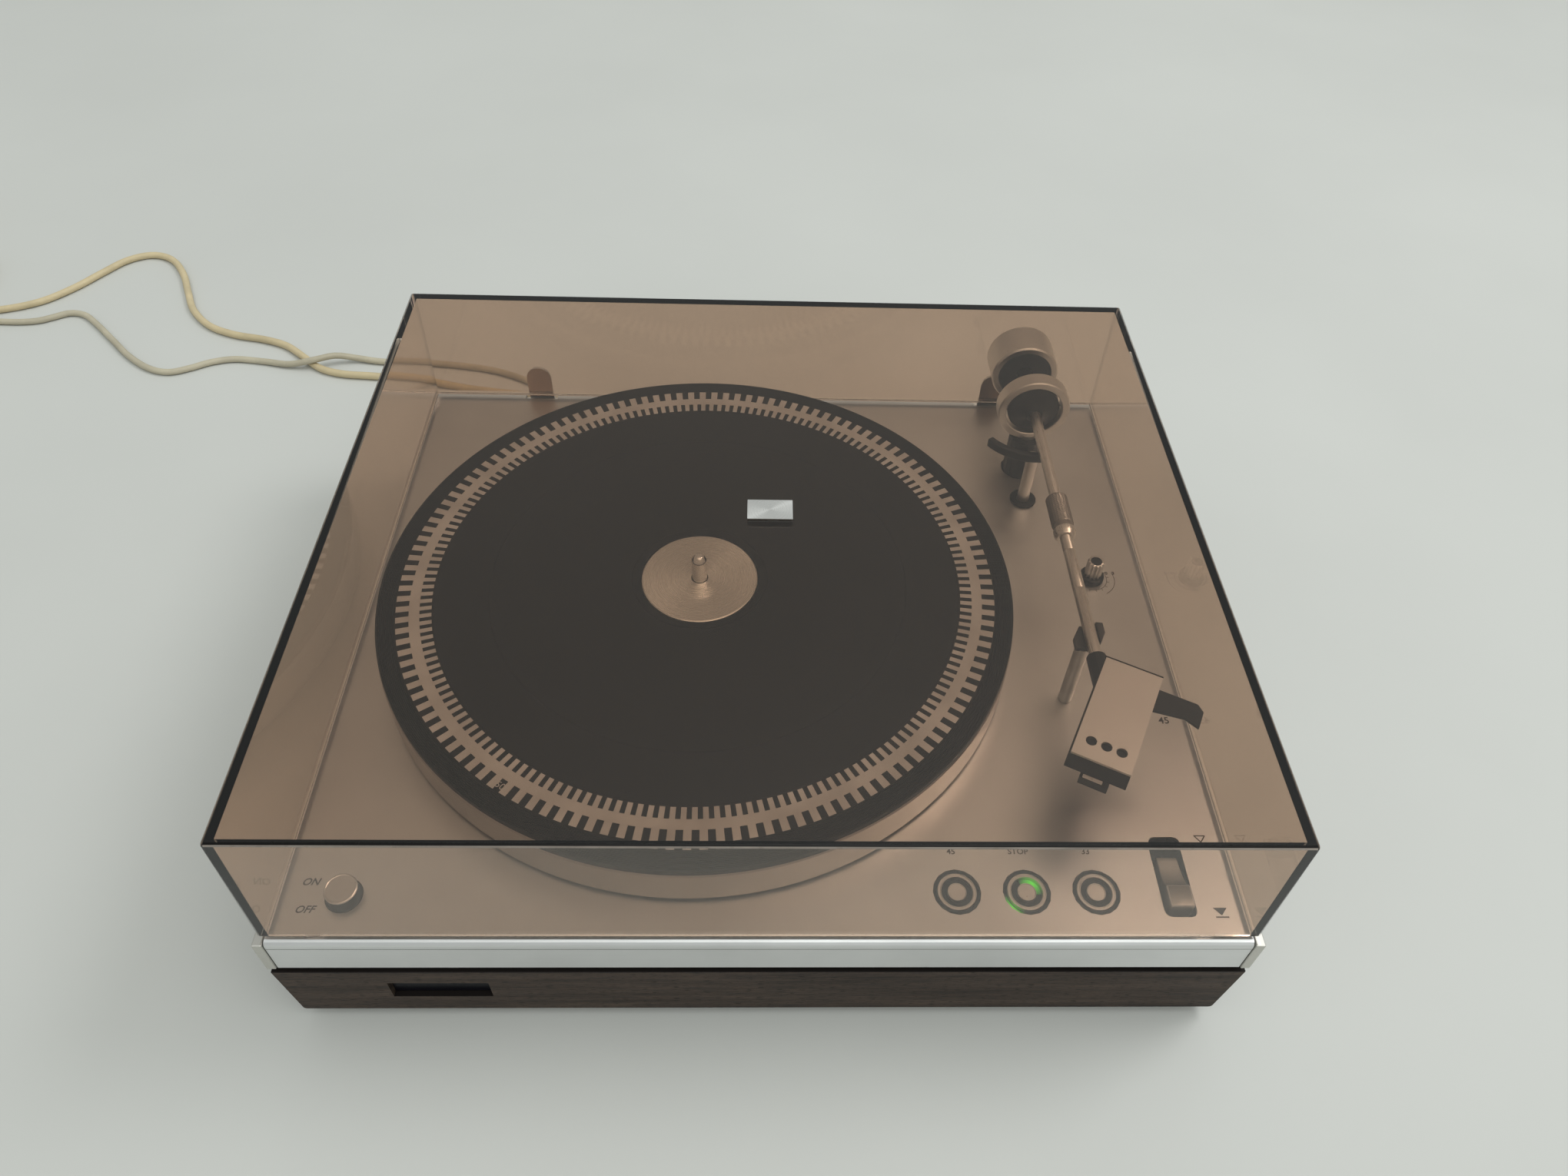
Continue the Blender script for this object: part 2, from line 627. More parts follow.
def add_cord(prefix, hole_x, route, floor, radius, coil, tail, end_height, look, slot, plug_pieces):
    """One curve along the route, round the coil and up to the plug. A coil is (turns, radius, way round)."""
    turns, outer, way = coil
    route = [(hole_x + x, CASE_REAR + y, *(height or [floor])) for x, y, *height in route]
    points = smooth_route(route, ROUTE_STEP)
    entry = Vector(route[-1]) - Vector((COIL_JOIN + COIL_LEAD, 0, 0))
    points += coil_points(entry, turns, outer, 2 * radius, way)
    add_tail(points, tail, end_height, way)
    curve = bpy.data.curves.new(f"{prefix}_lead", "CURVE")
    curve.dimensions = "3D"
    curve.bevel_depth = radius
    curve.bevel_resolution = 3
    curve.use_fill_caps = True
    spline = curve.splines.new("POLY")
    spline.points.add(len(points) - 1)
    for point, place in zip(spline.points, points):
        point.co = (*place, 1.0)
    lead = new_object(f"{prefix}_lead", curve)
    place_piece(lead, look, "case", slot, f"{prefix}_cord", f"{prefix}_coil")


PLUG_LENGTH = 0.035
GRIP_START = 0.0155
GRIP_PITCH = 0.003
GRIP_WIDTH = 0.0014
GRIP_HALF = 0.0045
GRIP_INSET = 0.006
GRIP_COUNT = 5
PIN_PITCH = 0.019
PIN = [(0, 0.019), (0.0012, 0.019), (0.0019, 0.018), (0.002, 0.0165), (0.002, -0.002), (0, -0.002)]


def add_mains_plug():
    """A flat two-pin plug with a waisted body, ribs for the fingers and round pins."""
    low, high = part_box("mains_plug")
    x = (low[0] + high[0]) / 2
    rear = low[1]
    z = (low[2] + high[2]) / 2
    half = (high[0] - low[0]) / 2
    thick = (high[2] - low[2]) / 2
    right = [(0.0065, 0), (0.0078, 0.006), (half, 0.0135), (half, 0.0345), (half - 0.0008, PLUG_LENGTH)]
    left = [(-a, b) for a, b in right[::-1]]
    outline = [(x + a, rear + b) for a, b in left[-1:] + right + left[:-1]]
    layers = [(outline, z - thick, z + thick)]
    body = slab("mains_plug_body", layers, "cream", "case", "cream_cord", "mains_plug", edge=(0.002, 4))
    layers = []
    for side in (-1, 1):
        middle = x + side * (half - GRIP_INSET)
        for index in range(GRIP_COUNT):
            y = rear + GRIP_START + index * GRIP_PITCH
            outline = rounded((middle - GRIP_HALF, y), (middle + GRIP_HALF, y + GRIP_WIDTH), 0.0006, 3)
            layers.append((outline, z + thick - 0.0003, z + thick + 0.0004))
    ribs = slab("mains_plug_ribs", layers, "cream", "case", "cream_cord")
    bm = bmesh.new()
    for side in (-1, 1):
        lathe(bm, PIN, (x + side * PIN_PITCH / 2, rear + PLUG_LENGTH, z), SMALL, "Y")
    pins = place_piece(from_bmesh("mains_plug_pins", bm), "brass", "case", "brass")
    return [body, ribs, pins]


SOUND_GRIP_REAR = [(0, 0), (0.0034, 0), (0.004, 0.0012), (0.0062, 0.007), (0.007, 0.0105)]
SOUND_GRIP_FRONT = [(0.0071, 0.0305), (0.0071, 0.0335), (0.0067, 0.034), (0, 0.034)]
SOUND_RIB_START = 0.0115
SOUND_RIB_PITCH = 0.0026
SOUND_RIB_COUNT = 7
SOUND_SHELL = [(0.0066, 0.0339), (0.0066, 0.0438), (0.0058, 0.0438), (0.0058, 0.0339)]
SOUND_PIN = [(0, 0.0425), (0.0005, 0.0423), (0.0007, 0.0415), (0.0007, 0.0338), (0, 0.0338)]
SOUND_PIN_REACH = 0.0033
SOUND_PIN_ANGLES = (0, 45, 90, 135, 180)
SOUND_PIN_STEPS = 16


def add_sound_plug():
    """A round plug with a ribbed grip, a metal shell and five pins in it."""
    low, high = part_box("audio_plug")
    x = (low[0] + high[0]) / 2
    z = (low[2] + high[2]) / 2
    place = (x, high[1], z)
    grip = list(SOUND_GRIP_REAR)
    for index in range(SOUND_RIB_COUNT):
        y = SOUND_RIB_START + index * SOUND_RIB_PITCH
        grip += [(0.0071, y), (0.0071, y + 0.0014), (0.0065, y + 0.0017), (0.0065, y + 0.0024)]
    grip += SOUND_GRIP_FRONT
    body = turned("audio_plug_grip", grip, place, "black", "case", "black_plastic", "audio_plug", axis="-Y")
    ring = turned("audio_plug_shell", SOUND_SHELL, place, "chrome", "case", "chrome", axis="-Y")
    bm = bmesh.new()
    for angle in SOUND_PIN_ANGLES:
        dx = SOUND_PIN_REACH * cos(radians(angle))
        dz = SOUND_PIN_REACH * sin(radians(angle))
        lathe(bm, SOUND_PIN, (x + dx, high[1], z + dz), SOUND_PIN_STEPS, "-Y")
    pins = place_piece(from_bmesh("audio_plug_pins", bm), "chrome", "case", "chrome")
    return [body, ring, pins]


BOOT_LENGTH = 0.035
BOOT_ROOT = 0.0052
BOOT_TIP = 0.0031
BOOT_RIBS = 6
BOOT_RIBBED_SHARE = 0.72
BOOT_GROOVE_SHARE = 0.8
BOOT_FLANGE_SHARE = 1.28
BOOT_FLANGE_THICK = 0.0014


def add_mains_boot():
    """A strain relief that tapers away from the case, with ribs that let it bend."""
    profile = [(0, BOOT_LENGTH), (BOOT_TIP * 0.8, BOOT_LENGTH), (BOOT_TIP, BOOT_LENGTH - 0.0006)]
    pitch = BOOT_LENGTH * BOOT_RIBBED_SHARE / BOOT_RIBS
    for index in range(BOOT_RIBS):
        high = BOOT_LENGTH - 0.002 - index * pitch
        r = BOOT_TIP + (BOOT_ROOT - BOOT_TIP) * (index + 1) / BOOT_RIBS
        groove = r * BOOT_GROOVE_SHARE
        profile += [(r, high), (r, high - pitch * 0.55)]
        profile += [(groove, high - pitch * 0.62), (groove, high - pitch * 0.95)]
    flange = BOOT_ROOT * BOOT_FLANGE_SHARE
    profile += [(BOOT_ROOT, BOOT_LENGTH * 0.16), (BOOT_ROOT, 0.0)]
    profile += [(flange, 0.0), (flange, -BOOT_FLANGE_THICK), (0, -BOOT_FLANGE_THICK)]
    turned(
        "mains_boot", profile, (MAINS_X, CASE_REAR, HOLE_LEVEL), "cream", "case", "cream_cord",
        "mains_strain_relief", axis="Y",
    )


SOUND_GLAND = [
    (0.0023, 0.0075), (0.0038, 0.0075), (0.0043, 0.007), (0.0043, 0.0022), (0.0046, 0.0018),
    (0.005, 0.0018), (0.005, -0.0012), (0.0023, -0.0012),
]
add_camera()
add_light()
add_floor()
add_cord(
    "mains", MAINS_X, MAINS_ROUTE, MAINS_FLOOR, MAINS_RADIUS, (MAINS_TURNS, MAINS_COIL_RADIUS, -1),
    MAINS_TAIL, MAINS_PLUG_LEVEL, "cream", "cream_cord", add_mains_plug(),
)
add_cord(
    "audio", SOUND_X, SOUND_ROUTE, SOUND_FLOOR, SOUND_RADIUS, (SOUND_TURNS, SOUND_COIL_RADIUS, 1),
    SOUND_TAIL, SOUND_PLUG_LEVEL, "greyed", "grey_cord", add_sound_plug(),
)
add_mains_boot()
hole = (SOUND_X, CASE_REAR, HOLE_LEVEL)
turned("sound_gland", SOUND_GLAND, hole, "black", "case", "black_plastic", "audio_gland", axis="Y")

# Platter and mat
PLATTER_PROFILE = [
    (0.0039, 0.0882), (0.1494, 0.0882), (0.15, 0.0876), (0.15, 0.0706), (0.1494, 0.07),
    (0.146, 0.07), (0.1455, 0.0705), (0.1455, 0.085), (0.0039, 0.085),
]
MAT_TOP = 0.092
MAT_GROOVE = 0.0918
MAT_UNDER = 0.0885
MAT_HOLE = 0.0279
MAT_EDGE = 0.1495
GROOVE_RADII = (0.032, 0.0985)
RIB_START = 0.1412
RIB_PITCH = 0.00075
RIB_COUNT = 10
RIB_TOP = 0.0921
DISC_PROFILE = [
    (0.0039, 0.0921), (0.0041, 0.0923), (0.0271, 0.0923), (0.0276, 0.0919), (0.0276, 0.0885),
    (0.0039, 0.0885),
]
SPINDLE_PROFILE = [
    (0, 0.1072), (0.0012, 0.1072), (0.0019, 0.107), (0.0024, 0.1063), (0.0034, 0.1048),
    (0.0036, 0.1042), (0.0036, 0.0232), (0, 0.0232),
]


def mat_profile():
    """Flat rubber with thin grooves, and fine ribs round its edge."""
    profile = [(MAT_HOLE, 0.0917), (0.0282, MAT_TOP)]
    for radius in GROOVE_RADII:
        profile += [(radius - 0.0004, MAT_TOP), (radius - 0.0002, MAT_GROOVE)]
        profile += [(radius + 0.0002, MAT_GROOVE), (radius + 0.0004, MAT_TOP)]
    profile += [(0.1235, MAT_TOP), (0.1237, 0.09185), (0.124, 0.09185), (0.1242, MAT_TOP)]
    profile += [(0.1408, MAT_TOP), (0.1409, MAT_GROOVE)]
    for index in range(RIB_COUNT):
        r = RIB_START + index * RIB_PITCH
        profile += [(r, MAT_GROOVE), (r + RIB_PITCH * 0.3, RIB_TOP)]
        profile += [(r + RIB_PITCH * 0.6, RIB_TOP), (r + RIB_PITCH * 0.9, MAT_GROOVE)]
    return profile + [(0.1489, 0.0919), (MAT_EDGE, 0.0914), (MAT_EDGE, MAT_UNDER), (MAT_HOLE, MAT_UNDER)]


AXLE = (*PLATTER, 0)
turned("platter_disc", PLATTER_PROFILE, AXLE, "platter", "platter", SATIN, "platter", steps=FINE)
turned("mat_ribbed", mat_profile(), AXLE, "mat", "platter", "rubber", "platter_mat", steps=FINE, angle=25.0)

# Strobe print: a pale ring with a comb of teeth on each side
PRINT_LEVEL = 0.09206
BAND_INNER = 0.1298
BAND_OUTER = 0.1346
BAND_LAP = 0.0001
BAND_STEPS = 360
INNER_REACH = 0.1244
OUTER_REACH = 0.1405
INNER_TEETH = 180
OUTER_TEETH = 133
TOOTH_SHARE = 0.52
MARK_ANGLE = radians(236.5)
MARK_RADIUS = 0.1378
MARK_SIZE = 0.0042


def on_print(radius, angle):
    return (PLATTER[0] + radius * cos(angle), PLATTER[1] + radius * sin(angle), PRINT_LEVEL)


def strobe_print():
    bm = bmesh.new()
    turns = [2 * pi * step / BAND_STEPS for step in range(BAND_STEPS)]
    inner = [bm.verts.new(on_print(BAND_INNER, angle)) for angle in turns]
    outer = [bm.verts.new(on_print(BAND_OUTER, angle)) for angle in turns]
    for i in range(BAND_STEPS):
        j = (i + 1) % BAND_STEPS
        bm.faces.new((inner[i], outer[i], outer[j], inner[j]))
    combs = (
        (INNER_TEETH, BAND_INNER + BAND_LAP, INNER_REACH),
        (OUTER_TEETH, BAND_OUTER - BAND_LAP, OUTER_REACH),
    )
    for count, near, far in combs:
        half = pi / count * TOOTH_SHARE
        for i in range(count):
            middle = MARK_ANGLE + 2 * pi * (i + 0.5) / count
            tooth = ((near, middle - half), (far, middle - half), (far, middle + half), (near, middle + half))
            corners = [bm.verts.new(on_print(*corner)) for corner in tooth]
            bm.faces.new(corners if far > near else corners[::-1])
    for face in bm.faces:
        face.normal_update()
        if face.normal.z < 0:
            face.normal_flip()
    mesh = bpy.data.meshes.new("strobe_marks")
    bm.to_mesh(mesh)
    bm.free()
    place_piece(new_object("strobe_marks", mesh), "strobe", "platter", "rubber")


def lettering(name, text, place, size, look, body, slot, turn=0.0, slant=0.0, bold=0.0):
    """Plain raised words or numbers, read from the front."""
    curve = bpy.data.curves.new(name, "FONT")
    curve.body = text
    curve.size = size
    curve.align_x = "CENTER"
    curve.align_y = "CENTER"
    curve.shear = slant
    curve.offset = bold
    curve.extrude = 0.00002
    curve.resolution_u = 3
    ob = new_object(name, curve)
    ob.location = place
    ob.rotation_euler = (0, 0, turn)
    place_piece(ob, look, body, slot)


strobe_print()
mark = on_print(MARK_RADIUS, MARK_ANGLE)
lettering("strobe_number", "50", mark, MARK_SIZE, "strobe", "platter", "rubber", MARK_ANGLE + pi / 2)
turned("spindle_pin", SPINDLE_PROFILE, AXLE, "chrome", "platter", "chrome", "spindle", angle=50.0)
turned("label_disc", DISC_PROFILE, AXLE, "disc", "platter", "brushed_aluminium", "centre_disc", steps=FINE)

# Dust cover: a clear sheet, whose upper front edge shows a dark line over a pale one
FLAT_SHARE = 0.995
WELD = 0.00001


def add_cover():
    mesh = nodes["dust_cover"].data.copy()
    mesh.name = "cover_sheet"
    mesh.materials.clear()
    for name in ("acrylic", "acrylic_edge", "edge_light"):
        mesh.materials.append(looks[name].material)
    bm = bmesh.new()
    bm.from_mesh(mesh)
    bmesh.ops.remove_doubles(bm, verts=bm.verts, dist=WELD)
    bm.normal_update()
    for face in bm.faces:
        across, along, up = face.normal
        slanted = max(abs(n) for n in face.normal) < FLAT_SHARE
        face.smooth = slanted
        face.material_index = 0
        if slanted and along < -0.3 and abs(across) < 0.1 and up > 0.2:
            face.material_index = 1 if up > 0.7 else 2
    bm.to_mesh(mesh)
    bm.free()
    cover = new_object("cover_sheet", mesh)
    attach(cover, "cover")
    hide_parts("dust_cover")


add_cover()

# Solids that keep their own shape
dress("plate", "lid_badge")
dress("chrome", "hinge_leaf_left", "hinge_leaf_right")
dress("deck", "deck_plate")
dress("trim", "side_trim_left", "side_trim_right")
dress("shell", "headshell_plate")
dress("brass", "motor_pulley")
dress("steel", "motor", "transformer", "subchassis")
for place in ("left", "rear", "front"):
    dress("steel", f"suspension_spring_{place}")
dress("wood", "plinth_frame")
dress("board", "base_board")
dress("circuit", "circuit_board")
dress("badge", "plinth_badge")
dress("well", "touch_panel", "cue_slot_liner")
dress("black", "rear_rail", "mains_switch", "lift_sleeve", "sub_platter", "headshell", "cartridge")
dress("black_metal", "arm_column")
dress("rubber", "drive_belt", "foot_front_left", "foot_front_right", "foot_rear_left", "foot_rear_right")

# Words and marks on the deck
INK_LEVEL = DECK_TOP + 0.00003
INK_HALF = 0.00002
WORD_BOLD = 0.00007
WORDS = (
    ("word_on", "ON", -0.1829, -0.1405, 0.0043, 0.3), ("word_off", "OFF", -0.1822, -0.1522, 0.0043, 0.3),
    ("word_45", "45", 0.077, -0.1264, 0.0036, 0.0), ("word_stop", "STOP", 0.1052, -0.1263, 0.0036, 0.0),
    ("word_33", "33", 0.1338, -0.1262, 0.0036, 0.0), ("word_adaptor", "45", 0.1829, -0.0627, 0.005, 0.0),
    ("scale_0", "0", 0.1751, 0.0289, 0.0027, 0.0), ("scale_3", "3", 0.1787, 0.029, 0.0027, 0.0),
)
RAISE_LINES = (
    (0.1812, -0.1216, 0.186, -0.1216, 0.0005), (0.1813, -0.1216, 0.1836, -0.1246, 0.0005),
    (0.1859, -0.1216, 0.1836, -0.1246, 0.0005),
)
LOWER_MARK = [(0.1811, -0.151), (0.1869, -0.151), (0.1841, -0.1543)]
LOWER_LINE = (0.1815, -0.155, 0.1869, -0.155, 0.0006)
SCALE_LINE = 0.00025
SCALE_INNER = 0.008
SCALE_TICK = 0.0094
SCALE_OUTER = 0.012
TICKS = 7
TICK_START = -105
TICK_PITCH = 22


def flat_mark(name, outlines, level=INK_LEVEL, half=INK_HALF):
    """Thin printed shapes, each a closed outline of (x, y) points."""
    layers = [(outline, level - half, level + half) for outline in outlines]
    slab(name, layers, "ink", "case", "brushed_aluminium")


def line(x1, y1, x2, y2, width):
    along = Vector((x2 - x1, y2 - y1)).normalized() * width / 2
    x, y = -along.y, along.x
    return [(x1 - x, y1 - y), (x2 - x, y2 - y), (x2 + x, y2 + y), (x1 + x, y1 + y)]


def ring_part(centre, radius, width, start, end, count=24):
    outer = arc(centre, radius + width / 2, start, end, count)
    return outer + arc(centre, radius - width / 2, end, start, count)


def scale_marks():
    """Two arcs beside the side force knob, and ticks outside the inner one."""
    marks = [ring_part(KNOB, SCALE_INNER, SCALE_LINE, -110, 35)]
    marks.append(ring_part(KNOB, SCALE_OUTER, SCALE_LINE, -60, 20))
    for index in range(TICKS):
        angle = radians(TICK_START + index * TICK_PITCH)
        dx, dy = cos(angle), sin(angle)
        start = (KNOB[0] + SCALE_INNER * dx, KNOB[1] + SCALE_INNER * dy)
        end = (KNOB[0] + SCALE_TICK * dx, KNOB[1] + SCALE_TICK * dy)
        marks.append(line(*start, *end, SCALE_LINE))
    return marks


for name, text, x, y, size, slant in WORDS:
    place = (x, y, INK_LEVEL)
    lettering(name, text, place, size, "ink", "case", "brushed_aluminium", 0.0, slant, WORD_BOLD)
flat_mark("lift_marks", [line(*ends) for ends in RAISE_LINES] + [LOWER_MARK, line(*LOWER_LINE)])
flat_mark("side_force_scale", scale_marks())

# The fold of the deck's front edge shows as a fine dark line
CREASE_LEVEL = 0.0641
CREASE_HALF = 0.00008
CREASE_OUT = 0.00004
CREASE_IN = 0.0001
DECK_HALF = 0.1941
DECK_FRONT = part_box("deck_plate")[0][1]
crease = [(-DECK_HALF, DECK_FRONT - CREASE_OUT), (DECK_HALF, DECK_FRONT - CREASE_OUT)]
crease += [(DECK_HALF, DECK_FRONT + CREASE_IN), (-DECK_HALF, DECK_FRONT + CREASE_IN)]
flat_mark("deck_crease", [crease], CREASE_LEVEL, CREASE_HALF)

# Power button, with a dark ring of shade round it
POWER_CAP = [(0, 0.0743), (0.0056, 0.0743), (0.006, 0.0745), (0.0064, 0.0743), (0.0065, 0.0737), (0, 0.0737)]
POWER_SKIRT = [
    (0, 0.0738), (0.0064, 0.0738), (0.0066, 0.0735), (0.0066, 0.0583), (0.003, 0.0583),
    (0.003, 0.0448), (0, 0.0448),
]
SHADE_RADIUS = 0.0072
SHADE_WIDTH = 0.0005
BUTTON = ("power_button", SATIN)
turned("power_cap", POWER_CAP, (*POWER, 0), "touch", *BUTTON, "power_button", angle=20.0, steps=ROUND)
turned("power_skirt", POWER_SKIRT, (*POWER, 0), "skirt", *BUTTON, angle=40.0, steps=ROUND)
halves = [ring_part(POWER, SHADE_RADIUS, SHADE_WIDTH, start, start + 180) for start in (0, 180)]
flat_mark("power_shade", halves)

# Touch sensors, and the green light that shows round the middle one
TOUCH_RING = [
    (0.0064, 0.0681), (0.0065, 0.0684), (0.0067, 0.0684), (0.0069, 0.0682), (0.0076, 0.0682),
    (0.0077, 0.0685), (0.0079, 0.0685), (0.008, 0.0682), (0.008, 0.0668), (0.0064, 0.0668),
]
TOUCH_CONTACT = [
    (0, 0.0682), (0.0034, 0.0682), (0.0036, 0.0684), (0.0038, 0.0684), (0.0039, 0.0681),
    (0.0039, 0.0668), (0, 0.0668),
]
TOUCH_PIECES = (("rim", TOUCH_RING, "chrome", "ring"), ("centre", TOUCH_CONTACT, SATIN, "contact"))
LIGHT_LOW = 0.0666
LIGHT_HIGH = 0.0669
LIGHT_GLOW = 1.2
LIGHT_FADE = 0.0054
LIGHTS = (("inner", 0.0051, 0.0023, 55, 60), ("outer", 0.009, 0.0013, 222, 40))


def light_finish(name, place):
    """Green plastic lit from below, brightest at one place."""
    made = Finish(name, (0.02, 0.3, 0.03), 0.4, Emission_Strength=LIGHT_GLOW)
    far = made.distance(place)
    made.feed("Emission Color", made.fade(far, (0.11, 0.86, 0.03), (0.002, 0.012, 0.003), 0.0, LIGHT_FADE))
    return made.colours(far, (0.03, 0.36, 0.04), (0.012, 0.02, 0.012), 0.0, LIGHT_FADE)


for name, x in TOUCH_BUTTONS:
    place = (x, TOUCH_Y, 0)
    for piece, profile, slot, node in TOUCH_PIECES:
        where = ("case", slot, f"touch_{node}_{name}")
        turned(f"touch_{piece}_{name}", profile, place, "touch", *where, steps=ROUND, angle=20.0)
for name, radius, width, middle, reach in LIGHTS:
    brightest = arc(STOP, radius, middle, middle, 2)[0]
    looks[name] = light_finish(f"lamp_{name}", (*brightest, 0))
    layers = [(ring_part(STOP, radius, width, middle - reach, middle + reach), LIGHT_LOW, LIGHT_HIGH)]
    slab(f"stop_lamp_{name}", layers, name, "case", "black_plastic")

# Side force knob
KNOB_FLUTED = [(0, 0.081), (0.0039, 0.0811), (0.0043, 0.0808), (0.0043, 0.0716), (0, 0.0716)]
KNOB_FLUTES = (12, 0.0009, 0.0715, 0.0812)
KNOB_CAP = [(0, 0.0813), (0.0027, 0.0813), (0.0029, 0.0811), (0.0029, 0.0808), (0, 0.0808)]
KNOB_BASE = [
    (0, 0.0717), (0.005, 0.0717), (0.0058, 0.0714), (0.0061, 0.0708), (0.0061, 0.0686),
    (0.0025, 0.0686), (0.0025, 0.0606), (0, 0.0606),
]
DIAL = "anti_skate_knob"
DIAL_PLACE = (*KNOB, 0)
turned(
    "side_force_fluted", KNOB_FLUTED, DIAL_PLACE, "satin", DIAL, SATIN, DIAL,
    steps=ROUND, flutes=KNOB_FLUTES, angle=50.0,
)
turned("side_force_cap", KNOB_CAP, DIAL_PLACE, "black_metal", DIAL, "black_metal")
turned("side_force_base", KNOB_BASE, DIAL_PLACE, "black", DIAL, "black_plastic")

# Cueing lever
CUE_PIVOT = (0.1678, -0.1386, 0.0468)
CUE_HALF = 0.0049
CUE_REAR_HALF = 0.0043
CUE_PIN = (0.0015, 0.0076)
CUE_HUB = 0.0038
CUE_BACK = -0.005
CUE_TAIL = 0.0104
CUE_EDGE = 0.0005
CUE_HOLLOW = (-0.0036, 0.0236)
GLINT_BACK = -0.0131
GLINT_LEVEL = 0.025
CUE_OUTLINE = [
    (-0.0138, 0.0144), (-0.0138, 0.0254), (-0.0134, 0.0257), (CUE_BACK, 0.0258), (-0.0046, 0.0254),
    (-0.0038, 0.0243), (-0.0026, 0.0233), (-0.001, 0.0225), (0.001, 0.0219), (0.0032, 0.0215),
    (0.0056, 0.0213), (0.008, 0.0211), (0.01, 0.0208), (CUE_TAIL, 0.0203), (CUE_TAIL, 0.019),
]


def lever_finish():
    """Satin metal, duller in the hollow behind the thumb block."""
    made = Finish("lever_satin", (0.6, 0.58, 0.555), 0.44, 1.0)
    hollow = (0, CUE_PIVOT[1] + CUE_HOLLOW[0], CUE_PIVOT[2] + CUE_HOLLOW[1])
    made.colours(made.distance(hollow, (0, 1, 1)), (0.33, 0.315, 0.3), (0.66, 0.64, 0.615), 0.0002, 0.0088)
    made.roughnesses(made.noise(900), 0.38, 0.5, 0.3, 0.7)
    return made.bump(made.noise(1200), 0.000002)


def add_cue_lever():
    """A rocker with a thumb block and a hollow ramp behind it, narrower towards its rear."""
    hub = arc((0, 0), CUE_HUB, 45, -225, 24)
    upright = Matrix(((0, 0, 1, 0), (1, 0, 0, 0), (0, 1, 0, 0), (0, 0, 0, 1)))
    bm = bmesh.new()
    prism(bm, CUE_OUTLINE + hub, -CUE_HALF, CUE_HALF, Matrix.Translation(CUE_PIVOT) @ upright)
    round_edges(bm, CUE_EDGE, 3, 50.0)
    for vert in bm.verts:
        share = (vert.co.y - CUE_PIVOT[1] - CUE_BACK) / (CUE_TAIL - CUE_BACK)
        share = min(1.0, max(0.0, share))
        squeeze = 1 + share * (CUE_REAR_HALF / CUE_HALF - 1)
        vert.co.x = CUE_PIVOT[0] + (vert.co.x - CUE_PIVOT[0]) * squeeze
    bm.normal_update()
    for face in bm.faces:
        centre = face.calc_center_median()
        slanted = max(abs(n) for n in face.normal) < 0.97
        upper = centre.z > CUE_PIVOT[2] + GLINT_LEVEL and centre.y > CUE_PIVOT[1] + GLINT_BACK
        face.material_index = 1 if slanted and upper else 0
    lever = from_bmesh("cue_rocker", bm, 50.0)
    for finish in (lever_finish(), looks["glint"]):
        lever.data.materials.append(finish.material)
    place_piece(lever, None, "cue_lever", SATIN, "cue_lever")
    radius, reach = CUE_PIN
    turned(
        "cue_rocker_pin", [(0, reach), (radius, reach), (radius, -reach), (0, -reach)], CUE_PIVOT,
        "steel", "cue_lever", "steel", axis="X",
    )


add_cue_lever()

# Head of the arm, with a bare pale plate on the top of the cartridge, ahead of the headshell
CARTRIDGE_TOP = 0.108
PLATE_LOW = (-0.0048, -0.0584)
PLATE_HIGH = (0.0032, -0.0567)
PLATE_CORNER = 0.0002
PLATE_SUNK = 0.0001
PLATE_RISE = 0.0002
for name, width in (("headshell", 0.0002), ("headshell_plate", 0.0002), ("cartridge", 0.0004)):
    soften(name, width)
head = Matrix.Translation((*HEADSHELL, 0)) @ Matrix.Rotation(-HEADSHELL_ANGLE, 4, "Z")
outline = rounded(PLATE_LOW, PLATE_HIGH, PLATE_CORNER, 3)
layers = [(outline, CARTRIDGE_TOP - PLATE_SUNK, CARTRIDGE_TOP + PLATE_RISE)]
slab("cartridge_plate", layers, "touch", "arm", SATIN, turn=head)

# Arm: heights in its profiles run from the pivot, along the arm or across it
SHAFT = [
    (0, 0.004), (0.00285, 0.004), (0.00285, 0.107), (0.00275, 0.1072), (0.00275, 0.1076), (0.00285, 0.1078),
    (0.00285, 0.131), (0.00275, 0.1312), (0.00275, 0.1316), (0.00285, 0.1318), (0.00285, 0.1697),
    (0, 0.1697),
]
HUB = [
    (0, 0.0075), (0.0042, 0.0075), (0.0062, 0.0058), (0.0098, 0.0042), (0.0126, 0.0034),
    (0.0137, 0.0026), (0.0137, -0.003), (0, -0.003),
]
STUB = [(0, 0.0365), (0.0036, 0.0365), (0.004, 0.036), (0.004, 0.0), (0, 0.0)]
GIMBAL_PINS = [(0, 0.0159), (0.0012, 0.0159), (0.0012, -0.0159), (0, -0.0159)]
HOOP = [
    (0.015, 0.0041), (0.0154, 0.0045), (0.0184, 0.0045), (0.019, 0.0039), (0.019, -0.0039),
    (0.0184, -0.0045), (0.0154, -0.0045), (0.015, -0.0041),
]
STEM = [(0, 0.0952), (0.0054, 0.0952), (0.0054, 0.0927), (0.003, 0.0927), (0.003, 0.0564), (0, 0.0564)]
WEIGHT_PLACE = (ARM[0], ARM[1] + 0.027, ARM[2])
WEIGHT = [
    (0, 0.018), (0.0041, 0.018), (0.0041, 0.003), (0.006, 0.0022), (0.0142, 0.0022), (0.0146, 0.0),
    (0.0172, 0.0), (0.018, 0.0008), (0.018, 0.02), (0.0172, 0.021), (0, 0.021),
]
WEIGHT_FACE = [(0.0042, 0.0024), (0.0143, 0.0024), (0.0143, 0.0016), (0.0042, 0.0016)]
SLEEVE_BORE = 0.00295
SLEEVE_OUTER = 0.00535
SLEEVE_GROOVES = 22
SLEEVE_START = 0.0725
SLEEVE_PITCH = 0.0008
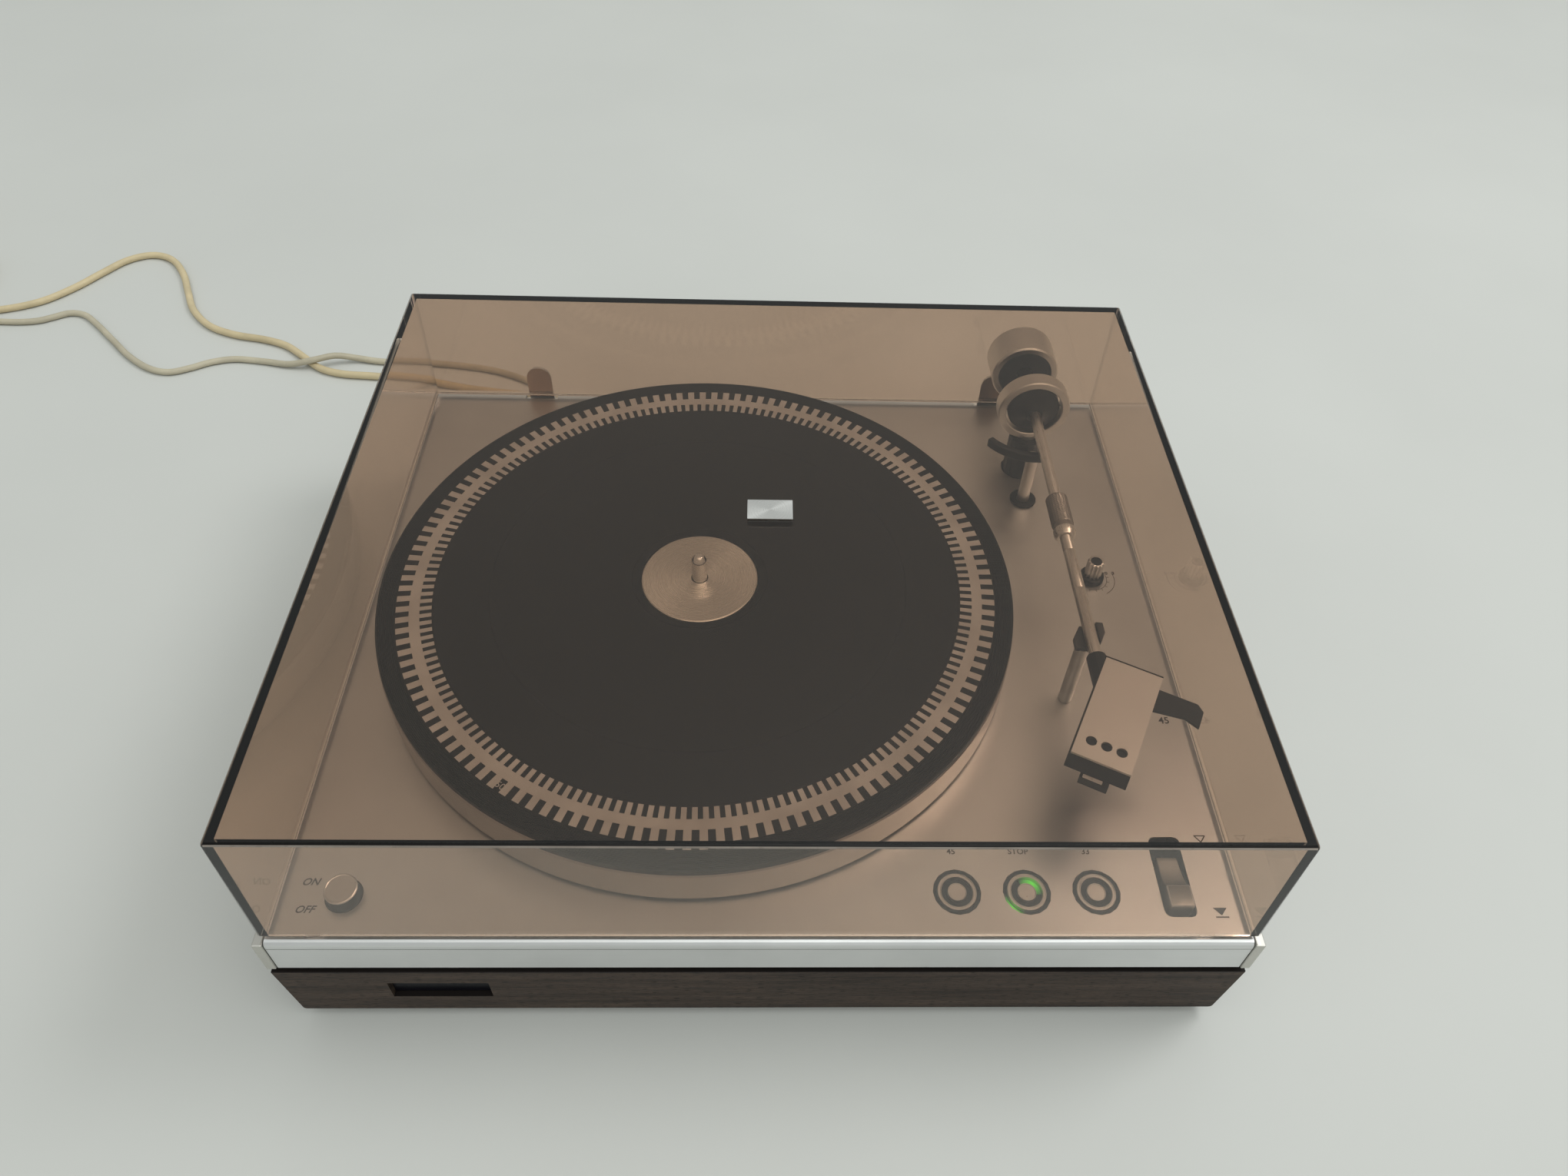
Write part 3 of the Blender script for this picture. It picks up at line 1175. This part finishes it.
SLEEVE_FLUTES = (24, 0.0001, 0.072, 0.0904)
COLLAR = [
    (SLEEVE_BORE, 0.0933), (0.005, 0.0933), (SLEEVE_OUTER, 0.0936), (SLEEVE_OUTER, 0.096),
    (0.0042, 0.0984), (SLEEVE_BORE, 0.0984),
]


def sleeve_profile():
    profile = [(SLEEVE_BORE, 0.0717), (0.005, 0.0717), (SLEEVE_OUTER, 0.072)]
    for index in range(SLEEVE_GROOVES):
        y = SLEEVE_START + index * SLEEVE_PITCH
        profile += [(SLEEVE_OUTER, y), (0.00515, y + SLEEVE_PITCH / 2)]
    return profile + [(0.005, 0.0902), (0.0048, 0.0904), (0.0048, 0.0934), (SLEEVE_BORE, 0.0934)]


turned("arm_shaft", SHAFT, ARM, "arm", "arm", SATIN, "arm_tube", axis="-Y")
turned("arm_hub", HUB, ARM, "black_metal", "arm", "black_metal", axis="-Y")
turned("arm_stub", STUB, ARM, "black_metal", "arm", "black_metal", axis="Y")
turned("gimbal_pins", GIMBAL_PINS, ARM, "steel", "arm", "steel", steps=TINY, axis="X")
turned("bearing_hoop", HOOP, ARM, "satin", "arm_swing", SATIN, "bearing_ring", axis="Y", steps=ROUND)
turned("bearing_stem", STEM, (*ARM[:2], 0), "steel", "arm_swing", "steel")
turned(
    "counterweight_body", WEIGHT, WEIGHT_PLACE, "satin", "counterweight", SATIN, "counterweight",
    steps=ROUND, axis="Y",
)
turned(
    "counterweight_face", WEIGHT_FACE, WEIGHT_PLACE, "black_metal", "counterweight", "black_metal",
    steps=ROUND, axis="Y",
)
turned(
    "tracking_sleeve", sleeve_profile(), ARM, "knurl", "tracking_weight", SATIN, "tracking_weight",
    axis="-Y", flutes=SLEEVE_FLUTES, angle=20.0,
)
turned("tracking_collar", COLLAR, ARM, "arm", "tracking_weight", SATIN, axis="-Y")

# Arm rest and arm lift
REST_POST = [(0, 0.107), (0.0032, 0.107), (0.0032, 0.0686), (0.002, 0.0686), (0.002, 0.0596), (0, 0.0596)]
REST_MIDDLE = (ARM[0], REST[1] + 0.0032)
REST_CLIP = ((-2.9, 6.8), (6.6, 5.5), (6.6, 0.0), (2.9, -6.8), (-6.6, -5.5), (-6.6, 0.0))
REST_PRONG = ((3.35, 5.94), (6.6, 5.5), (6.6, 0.0), (3.35, -5.97))
MILLIMETRE = 0.001
LIFT_POST = [(0, 0.101), (0.0032, 0.101), (0.0032, 0.0541), (0, 0.0541)]
LIFT_OUTER = 0.0303
LIFT_INNER = 0.0267
LIFT_START = -83
LIFT_END = -146


def by_rest(points):
    return [(x * MILLIMETRE + REST_MIDDLE[0], y * MILLIMETRE + REST_MIDDLE[1]) for x, y in points]


turned("rest_post", REST_POST, (*REST, 0), "steel", "case", "steel", "arm_rest")
layers = [(by_rest(REST_CLIP), 0.10625, 0.10885), (by_rest(REST_PRONG), 0.10825, 0.11285)]
slab("rest_clip", layers, "rest", "case", "black_plastic", edge=(0.0004, 3))
turned("lift_post", LIFT_POST, (*LIFT, 0), "satin", "arm_lift", SATIN, "arm_lift")
outline = arc(ARM[:2], LIFT_OUTER, LIFT_START, LIFT_END, 22)
outline += arc(ARM[:2], LIFT_INNER, LIFT_END, LIFT_START, 22)
slab("lift_bar", [(outline, 0.09855, 0.10355)], "black_metal", "arm_lift", "black_metal", edge=(0.0006, 3))
